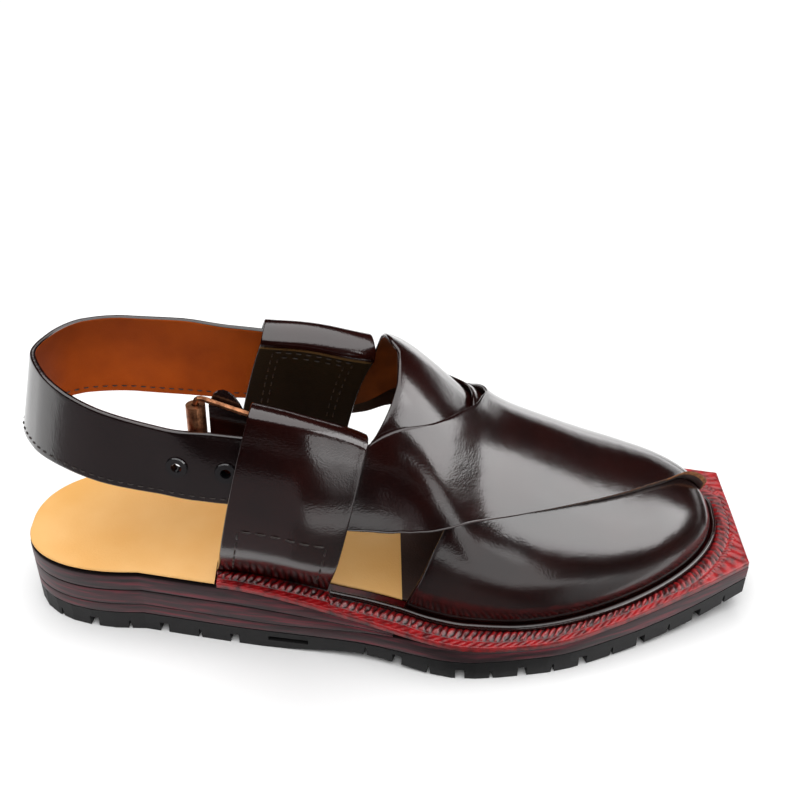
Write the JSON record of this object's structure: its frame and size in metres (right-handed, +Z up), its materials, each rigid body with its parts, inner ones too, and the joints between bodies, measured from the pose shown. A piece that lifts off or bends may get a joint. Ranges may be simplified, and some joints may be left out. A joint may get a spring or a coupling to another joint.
{
  "type": "peshawari chappal",
  "caption": "Open-backed peshawari chappal with crossed leather panels, buckled heel strap and a wedge-heeled lugged rubber sole.",
  "frame": {"origin": "on the floor under the middle of the heel's tread", "axes": "+X from the heel to the toe, +Y to the inner (medial) side of the foot, +Z up"},
  "size_m": [0.2888, 0.1118, 0.1176],
  "materials": {
    "rubber": "moulded black rubber, matte",
    "stacked_leather": "burgundy stacked leather edge, waxed",
    "red_welt": "red dyed leather, high gloss",
    "oxblood": "very dark oxblood leather, high gloss; tan lining",
    "tan_insole": "natural tan leather, smooth",
    "copper": "antique copper plating, worn",
    "black_enamel": "black enamel, gloss"
  },
  "bodies": {
    "root": {"outsole": "rubber", "midsole_runner": "stacked_leather", "heel_lift_lower": "stacked_leather", "heel_lift_upper": "stacked_leather", "welt": "red_welt", "insole": "tan_insole", "rand": "oxblood", "upper": "oxblood", "instep_piece": "oxblood", "side_loop_lateral": "oxblood", "side_loop_medial": "oxblood", "heel_strap": "oxblood", "buckle_tab": "oxblood", "buckle_frame": "copper", "buckle_roller": "copper", "buckle_prong": "copper", "eyelet_1": "black_enamel", "eyelet_2": "black_enamel"}
  },
  "joints": []
}
